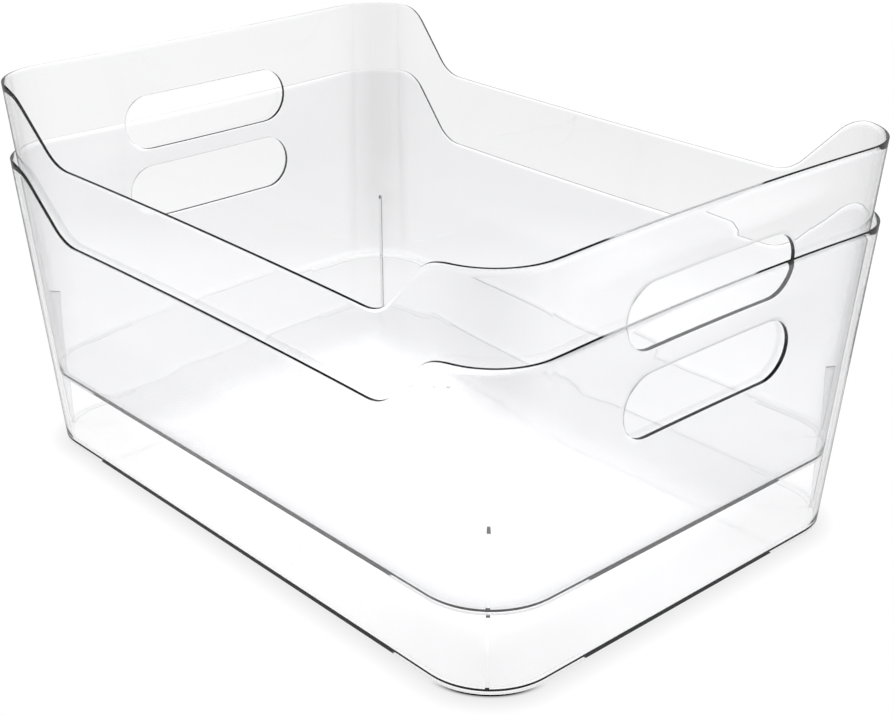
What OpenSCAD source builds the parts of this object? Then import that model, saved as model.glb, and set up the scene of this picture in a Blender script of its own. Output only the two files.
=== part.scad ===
// Two clear fridge bins, nested: one moulded tub standing inside another just like it.
// The origin is the centre of the lower bin's footprint, on the shelf. +X is the long axis,
// towards a handle, and +Z is up.

/* [Body] */
// Length of one bin at its base, between the end walls' outer faces
base_length = 300; // [240:1:400]
// Width of one bin at its base, between the side walls' outer faces
base_width = 208; // [160:1:280]
// Height of the end walls, which carry the handles
end_height = 132; // [120:1:180]
// Height of the side walls between the two swept ends
side_height = 104; // [90:1:110]
// Outside radius of the four upright corners
corner_radius = 29; // [20:0.5:40]
// Thickness of the walls
wall = 1.6; // [1.2:0.1:1.8]
// Thickness of the floor
floor_thickness = 1.6; // [1.2:0.1:3]
// Outward lean of the end walls
end_draft = 3.65; // [3.4:0.05:6]
// Outward lean of the side walls
side_draft = 3.3; // [3.2:0.05:6]

/* [Rim] */
// Half the length of the dip in each side rim, measured halfway up its slopes
dip_half_length = 116.7; // [100:0.1:118]
// Steepness of the slopes at the ends of the dip
dip_angle = 46; // [35:1:60]
// Radius of the curves at the foot and the top of each slope
dip_radius = 20; // [10:1:25]

/* [Handles] */
// Length of the handle slot in each end wall
handle_length = 90; // [70:1:110]
// Height of the handle slot, which has fully round ends
handle_height = 25; // [20:1:30]
// Height of the middle of the slot above the shelf
handle_level = 97; // [90:1:100]

/* [Feet and stacking ribs] */
// How far the corner feet stand below the floor
foot_height = 0.4; // [0.2:0.1:2]
// Width of the foot rib that follows each corner
foot_width = 3.5; // [2:0.1:6]
// How far each foot runs on along the straight walls from the end of the corner curve
foot_reach = 21; // [5:1:30]
// Height of the rib tops that carry another bin: the step between nested bins
nest_step = 33.6; // [32:0.1:60]
// Thickness of each stacking rib
rib_thickness = 1.2; // [0.8:0.1:2]
// How far each rib stands in from the base corner's outside face
rib_depth = 3.5; // [3:0.1:6]

/* [Moulding marks] */
// Diameter of the gate mark on the floor
gate_diameter = 3; // [2:0.5:5]
// Outside diameter of the plain ring mark beside it
ring_diameter = 7; // [6:0.5:10]
// Height of both marks above the floor
mark_height = 0.3; // [0.2:0.1:0.6]
// Distance of each mark from the floor's centre, along X and along Y
mark_offset = 4; // [3.5:0.5:10]

/* [Hidden] */
$fn = 96;
// The walls' outward run for each millimetre of height
end_slope = tan(end_draft);
side_slope = tan(side_draft);
// A round corner leans with both walls, and this is its lean and the direction it leans away from
corner_lean = atan(norm([end_slope, side_slope]));
corner_heading = atan2(-side_slope, -end_slope);
ring_line = 0.8;
seat_gap = 0.02;
clear_plastic = [0.86, 0.91, 0.94, 0.45];
// Enough to pass cutters cleanly through a wall
over = 10;

// Copies the children into all four corners.
module four_corners() {
  for (flip_x = [0, 1], flip_y = [0, 1])
    mirror([flip_x, 0, 0]) mirror([0, flip_y, 0]) children();
}

// A horizontal layer of space, from one height to another, larger than the bin.
module layer(low, high) {
  translate([-base_length, -base_width, low])
    cube([2 * base_length, 2 * base_width, high - low]);
}

// A square-cornered block whose four faces lean outwards, given by its half sizes at height 0.
module drafted_block(half_x, half_y, low, high) {
  intersection() {
    rotate([90, 0, 0])
      linear_extrude(height = 2 * base_width, center = true)
        drafted_section(half_x, end_slope, low, high);
    rotate([90, 0, 90])
      linear_extrude(height = 2 * base_length, center = true)
        drafted_section(half_y, side_slope, low, high);
  }
}

// The upright section of a block: two leaning sides between two heights.
module drafted_section(half, slope, low, high) {
  bottom = half + slope * low;
  top = half + slope * high;
  polygon([[-bottom, low], [bottom, low], [top, high], [-top, high]]);
}

// One round corner: a cylinder that leans outwards with the two walls that it joins.
module leaning_corner(half_x, half_y, radius, low, high) {
  intersection() {
    translate([half_x - radius, half_y - radius, 0])
      rotate([0, -corner_lean, corner_heading])
        translate([0, 0, low - over])
          cylinder(r = radius, h = high - low + 2 * over);
    layer(low, high);
  }
}

// The tub's outline as a solid: straight leaning walls with four round corners.
module tub_block(inset, low, high) {
  half_x = base_length / 2 - inset;
  half_y = base_width / 2 - inset;
  radius = corner_radius - inset;
  drafted_block(half_x - radius, half_y, low, high);
  drafted_block(half_x, half_y - radius, low, high);
  four_corners() leaning_corner(half_x, half_y, radius, low, high);
}

// The air over the low part of a side rim, in the XZ plane: a trough with round corners.
module rim_dip_section() {
  rise = end_height - side_height;
  curve_run = dip_radius * sin(dip_angle);
  curve_rise = dip_radius * (1 - cos(dip_angle));
  slope_run = (rise - 2 * curve_rise) / tan(dip_angle);
  foot_x = dip_half_length - curve_run - slope_run / 2;
  top_x = dip_half_length + curve_run + slope_run / 2;
  difference() {
    polygon([
      [-foot_x, side_height],
      [foot_x, side_height],
      [foot_x + curve_run, side_height + curve_rise],
      [top_x - curve_run, end_height - curve_rise],
      [top_x, end_height],
      [top_x, end_height + over],
      [-top_x, end_height + over],
      [-top_x, end_height],
      [-top_x + curve_run, end_height - curve_rise],
      [-foot_x - curve_run, side_height + curve_rise]
    ]);
    for (side = [-1, 1])
      translate([side * top_x, end_height - dip_radius]) circle(r = dip_radius);
  }
  for (side = [-1, 1])
    translate([side * foot_x, side_height + dip_radius]) circle(r = dip_radius);
}

// Cuts both side rims down to their dip.
module rim_dip() {
  rotate([90, 0, 0])
    linear_extrude(height = 2 * base_width, center = true) rim_dip_section();
}

// The handle slot, cut through both end walls at once.
module handle_slot() {
  half_straight = (handle_length - handle_height) / 2;
  translate([-base_length, -half_straight, handle_level - handle_height / 2])
    cube([2 * base_length, 2 * half_straight, handle_height]);
  for (side = [-1, 1])
    translate([-base_length, side * half_straight, handle_level])
      rotate([0, 90, 0]) cylinder(d = handle_height, h = 2 * base_length);
}

// The space under the floor: all of it but the four feet.
module under_floor() {
  free_x = base_length / 2 - corner_radius - foot_reach;
  free_y = base_width / 2 - corner_radius - foot_reach;
  tub_block(foot_width, -over, foot_height);
  translate([-free_x, -base_width, -over])
    cube([2 * free_x, 2 * base_width, over + foot_height]);
  translate([-base_length, -free_y, -over])
    cube([2 * base_length, 2 * free_y, over + foot_height]);
}

// The thin upright rib in a corner, on its diagonal, whose top carries the bin above.
module stacking_rib() {
  reach = corner_radius - rib_depth;
  rib_bottom = foot_height + floor_thickness / 2;
  intersection() {
    translate([base_length / 2 - corner_radius, base_width / 2 - corner_radius, 0])
      rotate([0, 0, 45])
        translate([reach, -rib_thickness / 2, rib_bottom])
          cube([2 * rib_depth + wall, rib_thickness, nest_step - seat_gap - rib_bottom]);
    leaning_corner(base_length / 2 - wall / 2, base_width / 2 - wall / 2,
      corner_radius - wall / 2, 0, nest_step);
  }
}

// The gate mark and a plain ring, raised on the floor either side of its centre.
module moulding_marks() {
  floor_top = foot_height + floor_thickness;
  translate([mark_offset, mark_offset, foot_height])
    cylinder(d = gate_diameter, h = floor_thickness + mark_height);
  translate([-mark_offset, -mark_offset, foot_height])
    difference() {
      cylinder(d = ring_diameter, h = floor_thickness + mark_height);
      translate([0, 0, floor_thickness / 2])
        cylinder(d = ring_diameter - 2 * ring_line, h = floor_thickness);
    }
}

// One whole bin, standing on its feet at height 0.
module bin() {
  difference() {
    tub_block(0, 0, end_height);
    tub_block(wall, foot_height + floor_thickness, end_height + over);
    under_floor();
    rim_dip();
    handle_slot();
  }
  four_corners() stacking_rib();
  moulding_marks();
}

module lower_bin() {
  color(clear_plastic) bin();
}

module upper_bin() {
  color(clear_plastic) translate([0, 0, nest_step]) bin();
}

lower_bin();
upper_bin();
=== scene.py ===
"""Two clear fridge bins, nested, on white studio paper. Lengths are in millimetres. MM makes them metres."""

import math
from collections import namedtuple

import bmesh
import bpy
from mathutils import Matrix, Vector


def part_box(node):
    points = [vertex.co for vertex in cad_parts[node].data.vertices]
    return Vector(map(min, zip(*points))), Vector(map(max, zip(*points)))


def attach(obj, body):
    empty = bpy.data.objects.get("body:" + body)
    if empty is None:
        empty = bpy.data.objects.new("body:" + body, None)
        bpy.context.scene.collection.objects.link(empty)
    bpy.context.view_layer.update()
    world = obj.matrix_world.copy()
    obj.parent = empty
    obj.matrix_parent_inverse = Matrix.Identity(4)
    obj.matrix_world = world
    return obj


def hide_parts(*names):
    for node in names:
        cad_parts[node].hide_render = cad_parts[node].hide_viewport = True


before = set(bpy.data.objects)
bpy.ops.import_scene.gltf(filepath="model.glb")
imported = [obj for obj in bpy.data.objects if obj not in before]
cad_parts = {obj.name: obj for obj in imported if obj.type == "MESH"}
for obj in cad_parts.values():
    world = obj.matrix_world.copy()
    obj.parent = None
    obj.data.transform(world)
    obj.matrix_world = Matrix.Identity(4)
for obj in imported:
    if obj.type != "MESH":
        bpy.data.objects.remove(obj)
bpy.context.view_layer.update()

MM = 0.001
LOWER, UPPER = "lower_bin", "upper_bin"


def cad_sizes():
    """The driving sizes of the bins, in millimetres, read from the CAD nodes."""
    low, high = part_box(LOWER)
    feet = [v.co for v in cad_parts[LOWER].data.vertices if v.co.z < low.z + 0.001 * MM]
    return {
        "base_x": max(v.x for v in feet) / MM,
        "base_y": max(v.y for v in feet) / MM,
        "rim_x": high.x / MM,
        "rim_y": high.y / MM,
        "height": (high.z - low.z) / MM,
        "nest_step": (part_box(UPPER)[0].z - low.z) / MM,
    }


SIZE = cad_sizes()
HEIGHT = SIZE["height"]
BASE_X, BASE_Y = SIZE["base_x"], SIZE["base_y"]
END_SLOPE = (SIZE["rim_x"] - BASE_X) / HEIGHT
SIDE_SLOPE = (SIZE["rim_y"] - BASE_Y) / HEIGHT
NEST_STEP = SIZE["nest_step"]

# The rest of the bin's shape, as in the CAD
CORNER_RADIUS = 29.0
WALL, FLOOR = 1.6, 1.6
SIDE_HEIGHT = 104.0
DIP_HALF_LENGTH, DIP_ANGLE, DIP_RADIUS = 116.7, math.radians(46), 20.0
HANDLE_LENGTH, HANDLE_HEIGHT, HANDLE_LEVEL = 90.0, 25.0, 97.0
FOOT_HEIGHT, FOOT_WIDTH, FOOT_REACH = 0.4, 3.5, 21.0
RIB_THICKNESS, RIB_DEPTH, SEAT_GAP = 1.2, 3.5, 0.02
GATE_DIAMETER, RING_DIAMETER, RING_LINE, MARK_OFFSET = 3.0, 7.0, 0.8, 4.0
STRAIGHT_X, STRAIGHT_Y = BASE_X - CORNER_RADIUS, BASE_Y - CORNER_RADIUS
FREE_X, FREE_Y = STRAIGHT_X - FOOT_REACH, STRAIGHT_Y - FOOT_REACH
FLOOR_TOP = FOOT_HEIGHT + FLOOR

# Finer shape that the CAD leaves out. The walls bow in at the middle of the rim, the rim's corners are
# tighter than the base's, the walls thin to a lip with a slanted top, and the edges are rounded.
END_BOW, SIDE_BOW = 2.56, 2.36
BOW_EASE = 12
CORNER_TIGHTENING = 2.2
LIP = 0.9
RIM_SLANT = math.radians(19)
OUTER_EDGE, INNER_EDGE = 0.15, 0.2
SLOT_OUTER_EDGE, SLOT_INNER_EDGE = 0.12, 0.1
BOTTOM_EDGE, FLOOR_FILLET = 0.25, 0.4
GATE_SWELLING, RING_SWELLING, RING_SPREAD = 0.15, 0.075, 0.3

# The width of a sharp step along the walls, such as a foot's end or a rib's top
STEP = 0.15
# The side rim is flat up to FLAT_X, and its slope's columns start just past the foot's end
FLAT_X, SLOPE_START = 88.0, 1.5
END_FOOT_COLUMNS, ARC_COLUMNS, SIDE_FOOT_COLUMNS, SLOPE_COLUMNS, FLAT_COLUMNS = 5, 12, 14, 8, 14
# Heights of the wall's rows: the one at its bottom, then those beside the ribs, above them and at the top
BASE_ROW = 2.6
RIB_ROWS, MIDDLE_ROWS, TOP_ROWS = [6, 12, 18, 24, 29], [40, 48, 56, 64], [121, 125, 129]
# Up to this height the rows are level. Above it they follow the rim.
LEVEL = 70.0
EDGE_SEGMENTS, SLOT_SEGMENTS, FILLET_SEGMENTS = 4, 5, 6
MARK_SEGMENTS, MARK_PROFILE_SEGMENTS = 48, 10
# The inset of the floor's two flat caps, and how far rings stand clear of a foot, its side and the fillet
CAP_INSET, FOOT_MARGIN, FOOT_STEP, FLOOR_MARGIN = 9.0, 1.0, 0.1, 1.2
RIM_SOLVING_STEPS = 12
SHARP_ANGLE = math.radians(32)
# The patch of end wall that is rebuilt round each handle slot
SLOT_LOW, SLOT_HIGH = 77.0, 117.0
SLOT_COLUMNS, SLOT_ROWS = 28, 14
PATCH_SHARES = (0.3, 0.6, 0.85)

# Where each material stands in a bin's list
CLEAR, FROSTED, EDGE = range(3)

# One upright line of the mesh: its part of the wall, its distance or angle along it, the signs of its
# quarter, whether a foot runs under it, and which side of a stacking rib it is.
Station = namedtuple("Station", "kind along side_x side_y foot rib")


def steps(start, stop, count):
    """count values from start towards stop, without stop."""
    return [start + (stop - start) * i / count for i in range(count)]


def smooth(share):
    """A share between 0 and 1, eased at both ends."""
    share = min(max(share, 0.0), 1.0)
    return share * share * (3 - 2 * share)


def end_stations():
    """(along, foot, rib) from the middle of an end wall to its corner."""
    found = [(y, False, 0) for y in steps(0, FREE_Y, SLOT_COLUMNS // 2)]
    found.append((FREE_Y, False, 0))
    return found + [(y, True, 0) for y in steps(FREE_Y + STEP, STRAIGHT_Y, END_FOOT_COLUMNS)]


def corner_stations():
    """(along, foot, rib) round a corner, with the two sides of its stacking rib at the middle."""
    half_rib = math.degrees(RIB_THICKNESS / 2 / (CORNER_RADIUS - WALL))
    beside = math.degrees(STEP / CORNER_RADIUS)
    turns = [(turn, 0) for turn in steps(0, 45 - half_rib - beside, ARC_COLUMNS)]
    turns += [(45 - half_rib - beside, 0), (45 - half_rib, -1), (45 + half_rib, 1)]
    turns += [(turn, 0) for turn in steps(45 + half_rib + beside, 90, ARC_COLUMNS)]
    return [(math.radians(turn), True, rib) for turn, rib in turns]


def side_stations():
    """(along, foot, rib) from a side wall's corner to its middle."""
    found = [(x, True, 0) for x in steps(STRAIGHT_X, FREE_X + STEP, SIDE_FOOT_COLUMNS)]
    found += [(FREE_X + STEP, True, 0), (FREE_X, False, 0)]
    rest = steps(FREE_X - SLOPE_START, FLAT_X, SLOPE_COLUMNS) + steps(FLAT_X, 0, FLAT_COLUMNS) + [0.0]
    return found + [(x, False, 0) for x in rest]


def all_stations():
    """The whole way round, anticlockwise from the middle of the +X end."""
    walls = (("end", end_stations()), ("corner", corner_stations()), ("side", side_stations()))
    quarter = [(kind, *place) for kind, places in walls for place in places]
    there, back = quarter[:-1], quarter[:0:-1]
    found = []
    for side_x, side_y, run in ((1, 1, there), (-1, 1, back), (-1, -1, there), (1, -1, back)):
        found += [Station(kind, along, side_x, side_y, foot, rib) for kind, along, foot, rib in run]
    return found


def wall_rows():
    """Heights of the wall's rows on the end walls, from just above the floor to the rim's rounded edge."""
    rows = RIB_ROWS + [NEST_STEP - SEAT_GAP, NEST_STEP + STEP] + MIDDLE_ROWS + [LEVEL]
    rows += steps(SLOT_LOW, SLOT_HIGH, SLOT_ROWS)
    return rows + [SLOT_HIGH] + TOP_ROWS + [HEIGHT]


def rounded(radius, segments):
    """(inwards, upwards) steps over a rounded edge, from its foot to its top."""
    turns = [math.pi / 2 * i / segments for i in range(segments + 1)]
    return [(radius * (1 - math.cos(turn)), radius * math.sin(turn)) for turn in turns]


def spread(along, straight, half):
    """Where a station stands along its wall, which is longer higher up. Near the middle it doesn't move."""
    hold = FREE_Y + STEP
    if along <= hold:
        return along
    return hold + (along - hold) * (half - hold) / (straight - hold)


def bow(level, full_level, depth, share):
    """How far a wall bows in, at a level above the shelf and a share of the way to the wall's end."""
    rise = smooth((level - NEST_STEP) / (full_level - NEST_STEP))
    return depth * rise * (1 - share**2) * (1 - share**BOW_EASE)


def tightened(height):
    """How much smaller the corner's radius is at a height than at the base."""
    return CORNER_TIGHTENING * height / HEIGHT


def thickness(station, row):
    """The wall's thickness at a row. It thins steadily to the lip, but only above the slot at a handle."""
    steady = max(0.0, (row - LEVEL) / (HEIGHT - LEVEL))
    late = max(0.0, (row - SLOT_HIGH) / (HEIGHT - SLOT_HIGH))
    away = smooth((station.along - FREE_Y) / (STRAIGHT_Y - FREE_Y)) if station.kind == "end" else 1.0
    return WALL - (WALL - LIP) * (late + away * (steady - late))


def rim_height(x):
    """The rim's height at a distance along the bin: a low middle, a slope with round ends, a high end."""
    rise = HEIGHT - SIDE_HEIGHT
    curve_run = DIP_RADIUS * math.sin(DIP_ANGLE)
    curve_rise = DIP_RADIUS * (1 - math.cos(DIP_ANGLE))
    slope_run = (rise - 2 * curve_rise) / math.tan(DIP_ANGLE)
    foot_x = DIP_HALF_LENGTH - curve_run - slope_run / 2
    top_x = DIP_HALF_LENGTH + curve_run + slope_run / 2
    x = abs(x)
    if x <= foot_x:
        return SIDE_HEIGHT
    if x >= top_x:
        return HEIGHT
    if x < foot_x + curve_run:
        return SIDE_HEIGHT + DIP_RADIUS - math.sqrt(DIP_RADIUS**2 - (x - foot_x) ** 2)
    if x > top_x - curve_run:
        return HEIGHT - DIP_RADIUS + math.sqrt(DIP_RADIUS**2 - (top_x - x) ** 2)
    return SIDE_HEIGHT + curve_rise + (x - foot_x - curve_run) * math.tan(DIP_ANGLE)


def slot_point(distance, radius, straight):
    """(y, height above the slot's middle) at a distance round the slot, along its lower side first."""
    if distance < 2 * straight:
        return -straight + distance, -radius
    distance -= 2 * straight
    if distance < math.pi * radius:
        turn = distance / radius - math.pi / 2
        return straight + radius * math.cos(turn), radius * math.sin(turn)
    distance -= math.pi * radius
    if distance < 2 * straight:
        return straight - distance, radius
    turn = (distance - 2 * straight) / radius + math.pi / 2
    return -straight + radius * math.cos(turn), radius * math.sin(turn)


def slot_outline(grow):
    """Points round the handle slot, grown outwards, as (y, height), in step with the patch's own outline."""
    radius = HANDLE_HEIGHT / 2 + grow
    straight = (HANDLE_LENGTH - HANDLE_HEIGHT) / 2
    around = 4 * straight + 2 * math.pi * radius
    total = 2 * (SLOT_COLUMNS + SLOT_ROWS)
    start = (2 * straight - around * SLOT_COLUMNS / total) / 2
    points = [slot_point((start + around * i / total) % around, radius, straight) for i in range(total)]
    return [(y, HANDLE_LEVEL + z) for y, z in points]


def swelling(radius, half_width, height):
    """A smooth round swelling on the floor, as (radius, height) from its outside to its inside."""
    turns = [math.pi * i / MARK_PROFILE_SEGMENTS for i in range(MARK_PROFILE_SEGMENTS + 1)]
    return [(radius + half_width * math.cos(t), FLOOR_TOP + height * math.sin(t) ** 2) for t in turns]


class Tub:
    """One bin's points and faces, with its feet at lift above the shelf."""

    def __init__(self, lift):
        self.lift = lift
        self.stations = all_stations()
        self.rows = wall_rows()
        self.points = []
        # Each face's points, and its material
        self.faces, self.painted = [], []
        # Where each ring starts in the list of points. outer and inner look a wall's rings up by their row.
        self.rings, self.outer, self.inner = [], {}, {}
        # The first ring of the feet's undersides, and the first and last of the rim
        self.sole, self.rim_from, self.rim_to = 0, 0, 0

    def end_x(self, y, height, inset):
        """Distance of the +X end wall from the middle of the bin."""
        half_y = STRAIGHT_Y + SIDE_SLOPE * height + tightened(height)
        depth = bow(height + self.lift, HEIGHT, END_BOW, min(abs(y) / half_y, 1))
        return BASE_X + END_SLOPE * height - inset - depth

    def side_y(self, x, height, inset):
        """Distance of the +Y side wall from the middle of the bin."""
        half_x = STRAIGHT_X + END_SLOPE * height + tightened(height)
        depth = bow(height + self.lift, SIDE_HEIGHT, SIDE_BOW, min(abs(x) / half_x, 1))
        return BASE_Y + SIDE_SLOPE * height - inset - depth

    def plan(self, station, height, inset):
        """(x, y) of a station at a height, in the first quarter, inset from the outside face."""
        half_x = STRAIGHT_X + END_SLOPE * height + tightened(height)
        half_y = STRAIGHT_Y + SIDE_SLOPE * height + tightened(height)
        if station.kind == "end":
            y = spread(station.along, STRAIGHT_Y, half_y)
            return self.end_x(y, height, inset), y
        if station.kind == "side":
            x = spread(station.along, STRAIGHT_X, half_x)
            return x, self.side_y(x, height, inset)
        radius = CORNER_RADIUS - tightened(height) - inset
        return half_x + radius * math.cos(station.along), half_y + radius * math.sin(station.along)

    def rib_plan(self, station):
        """(x, y) of the inner edge of a stacking rib, in the first quarter."""
        reach = CORNER_RADIUS - RIB_DEPTH
        across = station.rib * RIB_THICKNESS / 2
        turn = math.radians(45)
        return (
            STRAIGHT_X + reach * math.cos(turn) - across * math.sin(turn),
            STRAIGHT_Y + reach * math.sin(turn) + across * math.cos(turn),
        )

    def rim(self, station, inset):
        """The rim's height at a station, a little lower towards the outside."""
        height = HEIGHT
        for _ in range(RIM_SOLVING_STEPS):
            height = rim_height(self.plan(station, height, inset)[0])
        return height - (LIP - inset) * math.tan(RIM_SLANT)

    def row_height(self, station, row, inner):
        """The height of a wall's row at a station, given the row's height on the end walls."""
        if row <= LEVEL:
            return row
        top = self.rim(station, LIP) - INNER_EDGE if inner else self.rim(station, 0.0) - OUTER_EDGE
        return LEVEL + (row - LEVEL) / (HEIGHT - LEVEL) * (top - LEVEL)

    def add_face(self, corners, material=CLEAR):
        """Adds a face between points."""
        self.faces.append(corners)
        self.painted.append(material)

    def ring(self, places):
        """Adds a ring of points at each station's (height, inset). An inset of None is the rib's edge."""
        first = len(self.points)
        for station, (height, inset) in zip(self.stations, places):
            x, y = self.rib_plan(station) if inset is None else self.plan(station, height, inset)
            self.points.append((station.side_x * x, station.side_y * y, height))
        self.rings.append(first)
        return first

    def level_ring(self, height, inset):
        """Adds a ring at one height and inset."""
        return self.ring([(height, inset)] * len(self.stations))

    def foot_ring(self, rise, inset):
        """Adds a ring at a rise above the underside, which the feet lower to the shelf."""
        return self.ring([((0.0 if s.foot else FOOT_HEIGHT) + rise, inset) for s in self.stations])

    def rim_ring(self, edge, upwards, inset):
        """Adds a ring on one of the rim's rounded edges."""
        return self.ring([(self.rim(s, inset) - edge + upwards, inset) for s in self.stations])

    def inner_ring(self, row, insets):
        """Adds a ring on the inside, which steps in over the stacking ribs."""
        places = []
        for station, inset in zip(self.stations, insets):
            height = self.row_height(station, row, True)
            on_rib = station.rib and height < NEST_STEP
            places.append((height, None if on_rib else inset))
        return self.ring(places)

    def add_underside(self):
        """From the flat middle of the underside, over the feet, to the bottom of the walls."""
        self.level_ring(FOOT_HEIGHT, CAP_INSET)
        self.level_ring(FOOT_HEIGHT, FOOT_WIDTH + FOOT_MARGIN)
        self.level_ring(FOOT_HEIGHT, FOOT_WIDTH + FOOT_STEP)
        self.sole = self.foot_ring(0.0, FOOT_WIDTH)
        for inwards, upwards in rounded(BOTTOM_EDGE, EDGE_SEGMENTS)[::-1]:
            self.foot_ring(BOTTOM_EDGE - upwards, inwards)
        self.level_ring(BASE_ROW, 0.0)

    def add_outside(self):
        """Up the outside of the walls and over the rim."""
        for row in self.rows:
            places = [(self.row_height(s, row, False), 0.0) for s in self.stations]
            self.outer[row] = self.ring(places)
        self.rim_from = self.rings[-1]
        for inwards, upwards in rounded(OUTER_EDGE, EDGE_SEGMENTS)[1:]:
            self.rim_ring(OUTER_EDGE, upwards, inwards)
        for inwards, upwards in rounded(INNER_EDGE, EDGE_SEGMENTS)[:0:-1]:
            self.rim_ring(INNER_EDGE, upwards, LIP - inwards)
        self.rim_to = self.rings[-1]

    def add_inside(self):
        """Down the inside of the walls and in over the floor."""
        for row in reversed(self.rows):
            self.inner[row] = self.inner_ring(row, [thickness(s, row) for s in self.stations])
        for inwards, upwards in rounded(FLOOR_FILLET, FILLET_SEGMENTS):
            insets = [WALL + inwards] * len(self.stations)
            self.inner_ring(FLOOR_TOP + FLOOR_FILLET - upwards, insets)
        self.level_ring(FLOOR_TOP, WALL + FLOOR_FILLET + FLOOR_MARGIN)
        self.level_ring(FLOOR_TOP, CAP_INSET)

    def slot_columns(self, side_x):
        """The stations across a handle's patch, in the order of y."""
        half = SLOT_COLUMNS // 2
        count = len(self.stations)
        middle = 0 if side_x > 0 else count // 2
        return [(middle + side_x * i) % count for i in range(-half, half + 1)]

    def slot_gaps(self):
        """The columns that the two handle patches leave open."""
        plus_x, minus_x = self.slot_columns(1), self.slot_columns(-1)
        return set(plus_x[:-1]) | set(minus_x[1:])

    def join_rings(self):
        """Joins each ring to the next, but for the handle patches, and paints the feet, rim and ribs."""
        count = len(self.stations)
        gaps = self.slot_gaps()
        cut = {self.outer[row] for row in self.rows if SLOT_LOW <= row < SLOT_HIGH}
        cut |= {self.inner[row] for row in self.rows if SLOT_LOW < row <= SLOT_HIGH}
        for low, high in zip(self.rings, self.rings[1:]):
            for i in range(count):
                if low in cut and i in gaps:
                    continue
                j = (i + 1) % count
                material = self.paint(low, self.stations[i], self.stations[j])
                self.add_face((low + i, low + j, high + j, high + i), material)

    def paint(self, low, one, other):
        """The material of the face between two stations, above the ring that starts at low."""
        if low == self.sole and one.foot:
            return FROSTED
        on_rib = low > self.inner[NEST_STEP + STEP] and (one.rib or other.rib)
        # The rim and ribs take the darker copy of the plastic, a painted shade
        return EDGE if self.rim_from <= low <= self.rim_to or on_rib else CLEAR

    def join_loops(self, loops):
        """Joins each closed loop of points to the next."""
        for one, two in zip(loops, loops[1:]):
            for i in range(len(one)):
                j = (i + 1) % len(one)
                self.add_face((one[i], one[j], two[j], two[i]))

    def patch_outline(self, sheet, columns):
        """The points round a handle's patch in one sheet of the wall, from its low corner along y first."""
        rows = [row for row in self.rows if SLOT_LOW <= row <= SLOT_HIGH]
        outline = [sheet[rows[0]] + column for column in columns[:-1]]
        outline += [sheet[row] + columns[-1] for row in rows[:-1]]
        outline += [sheet[rows[-1]] + column for column in columns[:0:-1]]
        return outline + [sheet[row] + columns[0] for row in rows[:0:-1]]

    def wall_loop(self, side_x, places, inset):
        """Adds a loop of points on an end wall at each (y, height)."""
        first = len(self.points)
        for y, height in places:
            self.points.append((side_x * self.end_x(y, height, inset), y, height))
        return list(range(first, len(self.points)))

    def towards_slot(self, outline, share, grow):
        """(y, height) places a share of the way from a patch's outline to the slot's."""
        places = []
        for i, (slot_y, slot_height) in zip(outline, slot_outline(grow)):
            _, y, height = self.points[i]
            places.append((y + (slot_y - y) * share, height + (slot_height - height) * share))
        return places

    def add_slot(self, side_x):
        """Fills a handle's patch, in from the outer sheet, through the slot and out to the inner sheet."""
        columns = self.slot_columns(side_x)
        outer = self.patch_outline(self.outer, columns)
        inner = self.patch_outline(self.inner, columns)
        loops = [outer]
        for share in PATCH_SHARES:
            loops.append(self.wall_loop(side_x, self.towards_slot(outer, share, SLOT_OUTER_EDGE), 0.0))
        for inwards, upwards in rounded(SLOT_OUTER_EDGE, SLOT_SEGMENTS):
            loops.append(self.wall_loop(side_x, slot_outline(SLOT_OUTER_EDGE - upwards), inwards))
        for inwards, upwards in rounded(SLOT_INNER_EDGE, EDGE_SEGMENTS)[::-1]:
            loops.append(self.wall_loop(side_x, slot_outline(SLOT_INNER_EDGE - upwards), WALL - inwards))
        for share in PATCH_SHARES[::-1]:
            loops.append(self.wall_loop(side_x, self.towards_slot(inner, share, SLOT_INNER_EDGE), WALL))
        self.join_loops(loops + [inner])

    def circle(self, x, y, radius, height):
        """Adds a level circle of points."""
        first = len(self.points)
        for i in range(MARK_SEGMENTS):
            turn = 2 * math.pi * i / MARK_SEGMENTS
            self.points.append((x + radius * math.cos(turn), y + radius * math.sin(turn), height))
        return list(range(first, len(self.points)))

    def add_mark(self, offset, profile):
        """Adds a round moulding mark with a flat middle, and returns its outside circle."""
        loops = [self.circle(offset, offset, radius, height) for radius, height in profile]
        self.join_loops(loops)
        self.add_face(tuple(loops[-1]))
        return loops[0]

    def add_marks(self):
        """Adds the gate mark and the plain ring, and returns their outside circles."""
        closest = 0.01
        gate = [place for place in swelling(0.0, GATE_DIAMETER / 2, GATE_SWELLING) if place[0] > closest]
        ring = swelling((RING_DIAMETER - RING_LINE) / 2, RING_LINE / 2 + RING_SPREAD, RING_SWELLING)
        return [self.add_mark(MARK_OFFSET, gate), self.add_mark(-MARK_OFFSET, ring)]

    def build(self):
        """Makes every point and face but the two flat caps, and returns the loops round each cap."""
        self.add_underside()
        self.add_outside()
        self.add_inside()
        self.join_rings()
        for side_x in (1, -1):
            self.add_slot(side_x)
        marks = self.add_marks()
        count = len(self.stations)
        under, top = [list(range(first, first + count)) for first in (self.rings[0], self.rings[-1])]
        return [[under], [top] + marks]


def fill_caps(mesh, caps):
    """Fills each flat cap between its loops of points with triangles."""
    bm = bmesh.new()
    bm.from_mesh(mesh)
    bm.verts.ensure_lookup_table()
    for loops in caps:
        pairs = [pair for loop in loops for pair in zip(loop, loop[1:] + loop[:1])]
        edges = [bm.edges.get((bm.verts[i], bm.verts[j])) for i, j in pairs]
        bmesh.ops.triangle_fill(bm, use_beauty=True, edges=edges)
    bmesh.ops.recalc_face_normals(bm, faces=bm.faces)
    bm.to_mesh(mesh)
    bm.free()


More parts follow.
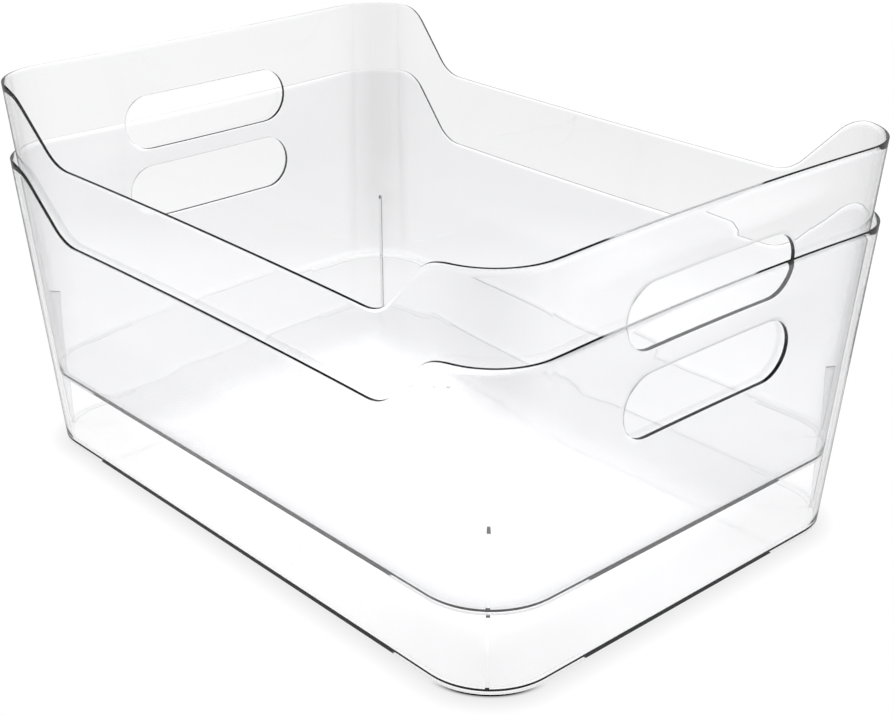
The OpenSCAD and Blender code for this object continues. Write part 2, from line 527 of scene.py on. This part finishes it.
def make_bin(name, lift, materials):
    """One bin as a closed mesh object."""
    tub = Tub(lift)
    caps = tub.build()
    mesh = bpy.data.meshes.new(name)
    mesh.from_pydata([(x * MM, y * MM, (z + lift) * MM) for x, y, z in tub.points], [], tub.faces)
    for material in materials:
        mesh.materials.append(material)
    mesh.polygons.foreach_set("material_index", tub.painted)
    fill_caps(mesh, caps)
    mesh.set_sharp_from_angle(angle=SHARP_ANGLE)
    # The caps stay flat, so that their long triangles don't bend the floor's reflections
    for face in mesh.polygons:
        face.use_smooth = face.index < len(tub.faces)
    made = bpy.data.objects.new(name, mesh)
    bpy.context.scene.collection.objects.link(made)
    return made


class Graph:
    """A short way to write a node graph: each call makes a node and links or sets its inputs."""

    def __init__(self, tree):
        self.tree = tree
        tree.nodes.clear()

    def node(self, kind, *inputs, **settings):
        """Adds a node and feeds its inputs in order."""
        made = self.tree.nodes.new("ShaderNode" + kind)
        for key, value in settings.items():
            setattr(made, key, value)
        for place, value in enumerate(inputs):
            self.feed(made, place, value)
        return made

    def feed(self, node, place, value):
        """Links a socket to an input, or sets its value. None leaves the input as it is."""
        if value is None:
            return
        if isinstance(value, bpy.types.NodeSocket):
            self.tree.links.new(value, node.inputs[place])
        else:
            node.inputs[place].default_value = value

    def math(self, operation, *inputs):
        """The result of one calculation."""
        return self.node("Math", *inputs, operation=operation).outputs[0]

    def product(self, one, *others):
        """The product of two or more numbers."""
        for other in others:
            one = self.math("MULTIPLY", one, other)
        return one

    def square(self, value):
        """A number times itself."""
        return self.math("MULTIPLY", value, value)

    def mix(self, share, one, two):
        """Mixes two numbers."""
        made = self.node("Mix", data_type="FLOAT")
        self.feed(made, 0, share)
        self.feed(made, 2, one)
        self.feed(made, 3, two)
        return made.outputs[0]

    def ramp(self, value, start, stop, first, last):
        """A number that runs evenly from first to last as a value runs from start to stop."""
        return self.node("MapRange", value, start, stop, first, last).outputs[0]

    def ease(self, value, start, stop, first, last):
        """A ramp that starts and stops gently."""
        made = self.node("MapRange", value, start, stop, first, last, interpolation_type="SMOOTHSTEP")
        return made.outputs[0]

    def axes(self, vector):
        """The three numbers of a vector."""
        return self.node("SeparateXYZ", vector).outputs

    def position(self):
        """The x, y and z of the point being shaded, in metres."""
        return self.axes(self.node("NewGeometry").outputs["Position"])


def new_material(name):
    """An empty node material and its graph."""
    material = bpy.data.materials.new(name)
    material.use_nodes = True
    return material, Graph(material.node_tree)


# The clear plastic
IOR = 1.57
CLEARNESS = (0.990, 0.990, 0.993, 1)
SHADOW_CLEARNESS = (0.97, 0.97, 0.97, 1)
# The rim and ribs use a darker copy of the clear plastic, which keeps this share of the light: painted shade
# on them
SHADED_EDGE_SHARE = 0.95
# How much of the light a reflection keeps: off the outside, at the first turns inside a wall, and at
# later ones. Above the handle slots the later ones keep more.
OUTSIDE_MIRROR, INSIDE_MIRROR, GUIDED_MIRROR, OVER_SLOT_MIRROR = 0.6, 1.0, 0.35, 0.93
FREE_TURNS = 1.5
# The shares of the bin's height between which that changes
OVER_SLOT = (0.80, 0.82)
# Waves, scuffs and the frosted feet's grain, and what each does to the surface
WAVES_PER_METRE, WAVE_DETAIL, WAVE_STRENGTH, WAVE_HEIGHT = 22.0, 1.0, 1.0, 0.06
SCUFFS_PER_METRE, SCUFF_DETAIL, SCUFF_RANGE, SCUFF_ROUGHNESS = 700.0, 4.0, (0.45, 0.75), 0.12
GRAINS_PER_METRE, GRAIN_DETAIL, GRAIN_STRENGTH, GRAIN_HEIGHT = 1200.0, 3.0, 0.5, 0.05
GRAIN_RANGE, GRAIN_ROUGHNESS, FROST_SPREAD = (0.3, 0.7), (0.45, 0.75), 0.75
# A painted shade in the round corners of the walls, which grows from its share at the base to all of it
# between two heights
WALL_CORNER_SHADE, CORNER_SPREAD = 0.04, math.radians(16)
WALL_SHADE_FROM, WALL_SHADE_TO, WALL_SHADE_AT_BASE = 30.0, 90.0, 0.2


def painted_corner_shade(g):
    """What's left of the light at a surface: a little less in the round corners, where shade is painted into
    the plastic.
    """
    place = g.position()
    past = []
    for axis, straight in ((0, STRAIGHT_X), (1, STRAIGHT_Y)):
        beyond = g.math("SUBTRACT", g.math("ABSOLUTE", place[axis]), straight * MM)
        past.append(g.math("MAXIMUM", beyond, 0.0))
    turn = g.math("SUBTRACT", g.math("ARCTAN2", past[1], past[0]), math.radians(45))
    middle = g.math("EXPONENT", g.math("DIVIDE", g.square(turn), -2 * CORNER_SPREAD**2))
    higher = g.ramp(place[2], WALL_SHADE_FROM * MM, WALL_SHADE_TO * MM, WALL_SHADE_AT_BASE, 1.0)
    return g.math("SUBTRACT", 1.0, g.product(WALL_CORNER_SHADE, middle, higher))


def moulded_surface(g):
    """The slightly wavy normal of a moulded surface, and the roughness of its fine scuffs."""
    place = g.node("TexCoord").outputs["Object"]
    waves = g.node("TexNoise", place, None, WAVES_PER_METRE, WAVE_DETAIL)
    bump = g.node("Bump", WAVE_STRENGTH, WAVE_HEIGHT * MM)
    g.feed(bump, "Height", waves.outputs[0])
    scuffs = g.node("TexNoise", place, None, SCUFFS_PER_METRE, SCUFF_DETAIL)
    return bump.outputs[0], g.ramp(scuffs.outputs[0], *SCUFF_RANGE, 0.0, SCUFF_ROUGHNESS)


def mirror_strength(g, path, kept_share):
    """How much of the light a reflection keeps: all of it at first inside a wall, then less at each turn."""
    inside = g.node("NewGeometry").outputs["Backfacing"]
    guided = g.math("GREATER_THAN", path.outputs["Glossy Depth"], FREE_TURNS)
    level = g.axes(g.node("TexCoord").outputs["Generated"])[2]
    turned = g.ramp(level, *OVER_SLOT, GUIDED_MIRROR, OVER_SLOT_MIRROR)
    kept = g.mix(inside, OUTSIDE_MIRROR, g.mix(guided, INSIDE_MIRROR, turned))
    return g.math("MULTIPLY", kept, kept_share)


def clear_plastic(name, kept_share):
    """Clear plastic. Light that runs on inside a wall is lost at each turn, so that its edges go dark."""
    material, g = new_material(name)
    path = g.node("LightPath")
    clearness_and_shade = g.node("VectorMath", CLEARNESS[:3], None, operation="SCALE")
    # Painted shade: less light passes through the round corners, and through the rim and ribs in their
    # darker copy of the plastic
    g.feed(clearness_and_shade, 3, g.math("MULTIPLY", painted_corner_shade(g), kept_share))
    wavy, scuffed = moulded_surface(g)
    through = g.node("BsdfRefraction", clearness_and_shade.outputs[0], 0.0, IOR, wavy)
    mirror = g.node("BsdfAnisotropic", mirror_strength(g, path, kept_share), scuffed)
    g.feed(mirror, "Normal", wavy)
    glass = g.node("MixShader", g.node("Fresnel", IOR).outputs[0], through.outputs[0], mirror.outputs[0])
    plain = g.math("MAXIMUM", path.outputs["Is Shadow Ray"], path.outputs["Is Diffuse Ray"])
    clear = g.node("BsdfTransparent", SHADOW_CLEARNESS)
    both = g.node("MixShader", plain, glass.outputs[0], clear.outputs[0])
    g.node("OutputMaterial", both.outputs[0])
    return material


def frosted_plastic(name):
    """The ground underside of a foot, which spreads the light of the paper it stands on."""
    material, g = new_material(name)
    place = g.node("TexCoord").outputs["Object"]
    grain = g.node("TexNoise", place, None, GRAINS_PER_METRE, GRAIN_DETAIL).outputs[0]
    bump = g.node("Bump", GRAIN_STRENGTH, GRAIN_HEIGHT * MM)
    g.feed(bump, "Height", grain)
    milky = g.node("BsdfTranslucent", (1, 1, 1, 1), bump.outputs[0])
    roughness = g.ramp(grain, *GRAIN_RANGE, *GRAIN_ROUGHNESS)
    rough = g.node("BsdfRefraction", CLEARNESS, roughness, IOR, bump.outputs[0])
    both = g.node("MixShader", FROST_SPREAD, rough.outputs[0], milky.outputs[0])
    g.node("OutputMaterial", both.outputs[0])
    return material


# The paper glows. Its brightness is 1 straight from the camera. Through the plastic it depends on how
# steeply it's seen: each pair is the upward part of the ray's direction and the brightness there.
PAPER_TONES = ((0.30, 0.94), (0.35, 1.0), (0.375, 1.12), (0.45, 1.26), (0.50, 1.23), (0.56, 1.18))
# Its brightness in a mirror, and as the light of the frosted feet
PAPER_MIRRORED, PAPER_SPREAD = 0.7, 1.35
# It's this much brighter under the middle of the floor. The two distances are from the base's outline.
PAPER_GAIN, GAIN_FROM, GAIN_TO = 1.6, -80.0, -20.0
# It darkens from the camera's left to its right, by a share for each metre, as far as LEAN_REACH each way
PAPER_LEAN, LEAN_DIRECTION, LEAN_REACH = -0.22, (0.67, 0.74), 200.0
# A soft spot under each corner of the base, as far in as CORNER_SHADE_IN, that fades outside the base
CORNER_SHADE, CORNER_SHADE_REACH, CORNER_SHADE_IN, CORNER_SHADE_FADE = 0.08, 30.0, 22.0, 20.0
# The thin shade round the base, moved towards the camera, and the painted contact shadow line under the near
# corner
SHADOW_DEPTH, SHADOW_FROM, SHADOW_TO, SHADOW_SHIFT = 0.18, -5.0, 6.0, 4.0
CONTACT_DEPTH, CONTACT_REACH = 0.9, 1.1
PAPER_HALF_SIZE = 6000.0


def base_distance(g, shift=0.0):
    """How far a floor point is outside the base's outline, moved towards the camera by shift, in metres."""
    place = g.position()
    past = []
    for axis, straight, towards in ((0, STRAIGHT_X, shift), (1, STRAIGHT_Y, -shift)):
        moved = g.math("SUBTRACT", place[axis], towards * MM)
        past.append(g.math("SUBTRACT", g.math("ABSOLUTE", moved), straight * MM))
    reach_x, reach_y = [g.math("MAXIMUM", beyond, 0.0) for beyond in past]
    outside = g.math("SQRT", g.math("ADD", g.square(reach_x), g.square(reach_y)))
    inside = g.math("MINIMUM", g.math("MAXIMUM", *past), 0.0)
    return g.math("SUBTRACT", g.math("ADD", outside, inside), CORNER_RADIUS * MM)


def nearest_corner(g):
    """1 at the middle of the base corner nearest the camera, falling to 0 at the ends of its curve."""
    place = g.position()
    diagonal = math.sqrt(0.5)
    towards = g.math("MULTIPLY", g.math("SUBTRACT", place[0], place[1]), diagonal)
    middle = (STRAIGHT_X + STRAIGHT_Y) * diagonal + CORNER_RADIUS
    ends = middle - CORNER_RADIUS * (1 - diagonal)
    return g.ease(towards, ends * MM, middle * MM, 0.0, 1.0)


def corner_shade(g):
    """How much of the light each corner keeps off the paper under it."""
    place = g.position()
    far = []
    for axis, half in ((0, BASE_X), (1, BASE_Y)):
        off = g.math("SUBTRACT", g.math("ABSOLUTE", place[axis]), (half - CORNER_SHADE_IN) * MM)
        far.append(g.square(off))
    spot = g.math("EXPONENT", g.math("DIVIDE", g.math("ADD", *far), -2 * (CORNER_SHADE_REACH * MM) ** 2))
    fade = g.ramp(base_distance(g), 0.0, CORNER_SHADE_FADE * MM, 1.0, 0.0)
    return g.product(CORNER_SHADE, spot, fade)


def paper_in_view(g):
    """The paper straight from the camera: white, with a thin shade round the base and at its near corner."""
    shadow = g.ramp(base_distance(g, SHADOW_SHIFT), SHADOW_FROM * MM, SHADOW_TO * MM, SHADOW_DEPTH, 0.0)
    touch = g.math("DIVIDE", base_distance(g), CONTACT_REACH * MM)
    falling = g.math("EXPONENT", g.math("MULTIPLY", g.square(touch), -1.0))
    contact = g.product(CONTACT_DEPTH, falling, nearest_corner(g))
    return g.math("SUBTRACT", g.math("SUBTRACT", 1.0, shadow), contact)


def paper_through_plastic(g):
    """The paper as the plastic shows it: bright where seen steeply and under the middle of the floor."""
    up = g.axes(g.node("NewGeometry").outputs["Incoming"])[2]
    bright = PAPER_TONES[0][1]
    for (low, one), (high, other) in zip(PAPER_TONES, PAPER_TONES[1:]):
        bright = g.math("ADD", bright, g.ramp(up, low, high, 0.0, other - one))
    gain = g.ease(base_distance(g), GAIN_FROM * MM, GAIN_TO * MM, PAPER_GAIN, 1.0)
    bright = g.product(bright, gain, g.math("SUBTRACT", 1.0, corner_shade(g)))
    place = g.position()
    along = g.math("ADD", *[g.math("MULTIPLY", place[axis], LEAN_DIRECTION[axis]) for axis in (0, 1)])
    held = g.math("MAXIMUM", g.math("MINIMUM", along, LEAN_REACH * MM), -LEAN_REACH * MM)
    return g.math("MULTIPLY", bright, g.math("ADD", 1.0, g.math("MULTIPLY", held, PAPER_LEAN)))


def paper_material():
    """Glowing studio paper, with its own brightness for each kind of ray."""
    material, g = new_material("studio_paper")
    path = g.node("LightPath")
    seen = g.mix(path.outputs["Is Transmission Ray"], PAPER_MIRRORED, paper_through_plastic(g))
    seen = g.mix(path.outputs["Is Diffuse Ray"], seen, PAPER_SPREAD)
    strength = g.mix(path.outputs["Is Camera Ray"], seen, paper_in_view(g))
    g.node("OutputMaterial", g.node("Emission", (1, 1, 1, 1), strength).outputs[0])
    return material


def studio_floor():
    """A wide sheet of studio paper."""
    half = PAPER_HALF_SIZE * MM
    corners = [(-half, -half, 0), (half, -half, 0), (half, half, 0), (-half, half, 0)]
    mesh = bpy.data.meshes.new("floor")
    mesh.from_pydata(corners, [], [(0, 1, 2, 3)])
    mesh.materials.append(paper_material())
    floor = bpy.data.objects.new("studio_floor", mesh)
    bpy.context.scene.collection.objects.link(floor)


# The sky's brightness near the horizon, halfway up and overhead, and where it changes. A place in the sky is
# given by the upward part of its direction.
SKY_LOW, SKY_MIDDLE, SKY_TOP = 1.0, 0.25, 1.2
SKY_FALL, SKY_RISE = (0.5, 0.65), (0.8, 0.9)


def studio_world():
    """A soft sky with no lamps. The camera itself sees plain white."""
    world = bpy.data.worlds.new("studio")
    world.use_nodes = True
    g = Graph(world.node_tree)
    path = g.node("LightPath")
    up = g.math("MULTIPLY", g.axes(g.node("NewGeometry").outputs["Incoming"])[2], -1.0)
    low = g.ease(up, *SKY_FALL, SKY_LOW, SKY_MIDDLE)
    high = g.ease(up, *SKY_RISE, 0.0, SKY_TOP - SKY_MIDDLE)
    strength = g.mix(path.outputs["Is Camera Ray"], g.math("ADD", low, high), 1.0)
    g.node("OutputWorld", g.node("Background", (1, 1, 1, 1), strength).outputs[0])
    bpy.context.scene.world = world


def add_bins():
    """Both bins, each in place of its CAD node."""
    materials = [
        clear_plastic("clear_plastic", 1.0),
        frosted_plastic("frosted_foot"),
        # A darker copy of the clear plastic for the rim and ribs: painted shade
        clear_plastic("shaded_edge_plastic", SHADED_EDGE_SHARE),
    ]
    for body, lift in ((LOWER, 0.0), (UPPER, NEST_STEP)):
        piece = make_bin(body + "_tub", lift, materials)
        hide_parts(body)
        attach(piece, body)


# The camera's place, and how it's turned: about +Z, then up from straight down, then about its own axis
CAMERA_PLACE = Vector((485.83, -425.23, 349.47)) * MM
CAMERA_TURN, CAMERA_TILT, CAMERA_ROLL = math.radians(47.887), math.radians(65.293), math.radians(-0.166)
SENSOR_WIDTH, LENS = 36.0, 66.46
CLIP_START, CLIP_END = 10.0, 50000.0


def aim_camera():
    """The camera, over the bins' near corner."""
    data = bpy.data.cameras.new("camera")
    data.sensor_width, data.lens = SENSOR_WIDTH, LENS
    data.clip_start, data.clip_end = CLIP_START * MM, CLIP_END * MM
    camera = bpy.data.objects.new("camera", data)
    bpy.context.scene.collection.objects.link(camera)
    aim = Matrix.Rotation(CAMERA_TURN, 4, "Z") @ Matrix.Rotation(CAMERA_TILT, 4, "X")
    camera.matrix_world = Matrix.Translation(CAMERA_PLACE) @ aim @ Matrix.Rotation(CAMERA_ROLL, 4, "Z")
    bpy.context.scene.camera = camera


MAX_BOUNCES, DIFFUSE_BOUNCES, SHADOW_BOUNCES = 16, 3, 64


def set_light_paths():
    """Enough bounces for light that runs on inside the walls, and plain white for the brightest paper."""
    scene = bpy.context.scene
    scene.view_settings.view_transform = "Standard"
    scene.cycles.max_bounces = MAX_BOUNCES
    scene.cycles.transmission_bounces = MAX_BOUNCES
    scene.cycles.glossy_bounces = MAX_BOUNCES
    scene.cycles.diffuse_bounces = DIFFUSE_BOUNCES
    scene.cycles.transparent_max_bounces = SHADOW_BOUNCES
    scene.cycles.sample_clamp_indirect = 0


studio_floor()
studio_world()
add_bins()
aim_camera()
set_light_paths()
